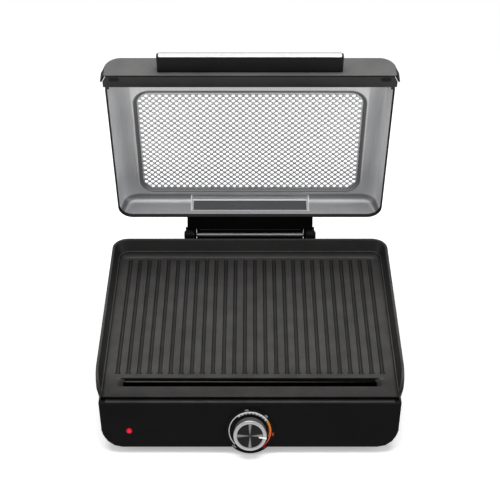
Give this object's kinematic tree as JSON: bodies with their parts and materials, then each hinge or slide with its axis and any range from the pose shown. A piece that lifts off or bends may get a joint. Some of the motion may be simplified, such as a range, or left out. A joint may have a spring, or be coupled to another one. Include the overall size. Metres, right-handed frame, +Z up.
{
  "type": "electric indoor grill",
  "caption": "Countertop electric grill: ridged plate with grease slot over a slanted-front base with a temperature dial, and a rear-hinged lid with a perforated window and front handle.",
  "frame": {"origin": "on the table, under the centre of the box that holds the part with its lid open", "axes": "+X to the right as seen from the front, +Y to the back, +Z up"},
  "size_m": [0.4076, 0.4228, 0.4208],
  "materials": {
    "housing_plastic": "satin black moulded plastic",
    "foot_rubber": "matt rubber",
    "zinc_steel": "zinc-plated steel",
    "lens_red": "clear red lens",
    "lamp_body": "moulded plastic",
    "phenolic": "heat-resistant moulding",
    "brass_tab": "plain brass",
    "reflector_sheet": "mill-finish aluminised sheet",
    "element_sheath": "dark heat-tinted sheath",
    "ceramic_bush": "unglazed ceramic",
    "wire_jacket": "silicone jacket",
    "tray_sheet": "satin sheet",
    "cast_plate": "charcoal non-stick coating on cast metal",
    "lid_sheet": "satin sheet inside, black coating outside",
    "lid_plastic": "satin black moulded plastic",
    "bright_strip": "bright satin strip",
    "bracket_paint": "black paint",
    "ring_metal": "satin turned ring",
    "spun_face": "dark spun-brushed face",
    "pointer_metal": "light bar"
  },
  "bodies": {
    "base": {"base_housing": "housing_plastic", "front_panel": "housing_plastic", "base_bottom": "housing_plastic", "base_feet": "foot_rubber", "base_screws": "zinc_steel", "panel_screws": "zinc_steel", "dial_bezel": "housing_plastic", "indicator_lens": "lens_red", "indicator_lamp": "lamp_body", "thermostat": "phenolic", "thermostat_bracket": "zinc_steel", "thermostat_nut": "zinc_steel", "thermostat_tabs": "brass_tab", "heat_reflector": "reflector_sheet", "reflector_screws": "zinc_steel", "heating_element": "element_sheath", "element_clips": "zinc_steel", "element_bushes": "ceramic_bush", "terminal_pins": "brass_tab", "temperature_probe": "zinc_steel", "probe_spring": "zinc_steel", "thermal_fuse": "brass_tab", "terminal_block": "phenolic", "internal_wires": "wire_jacket", "cord_gland": "housing_plastic", "hinge_bracket": "housing_plastic", "hinge_bracket_screws": "zinc_steel", "hinge_rod": "zinc_steel", "rod_caps": "zinc_steel", "grease_tray": "tray_sheet", "plate_supports": "zinc_steel", "grill_plate": "cast_plate"},
    "lid": {"lid_pan": "lid_sheet", "lid_window": "lid_sheet", "lid_fascia": "lid_plastic", "fascia_flange": "lid_plastic", "lid_bumpers": "foot_rubber", "lid_handle": "lid_plastic", "handle_strip": "bright_strip", "handle_screws": "zinc_steel", "lid_bracket": "bracket_paint", "lid_bracket_screws": "zinc_steel", "hinge_bushes": "phenolic"},
    "dial": {"dial_shaft": "zinc_steel", "knob_body": "housing_plastic", "knob_ring": "ring_metal", "knob_face": "spun_face", "knob_pointer": "pointer_metal", "shaft_clip": "zinc_steel"}
  },
  "joints": [
    {"name": "lid_hinge", "type": "hinge", "parent": "base", "child": "lid", "pos_m": [0, 0.1648, 0.092], "axis": [1, 0, 0], "range_deg": [0, 79.5]},
    {"name": "dial_turn", "type": "hinge", "parent": "base", "child": "dial", "pos_m": [0, -0.19076, 0.03437], "axis": [0, -0.9478, 0.319], "range_deg": [-49.8, 236.2]}
  ]
}
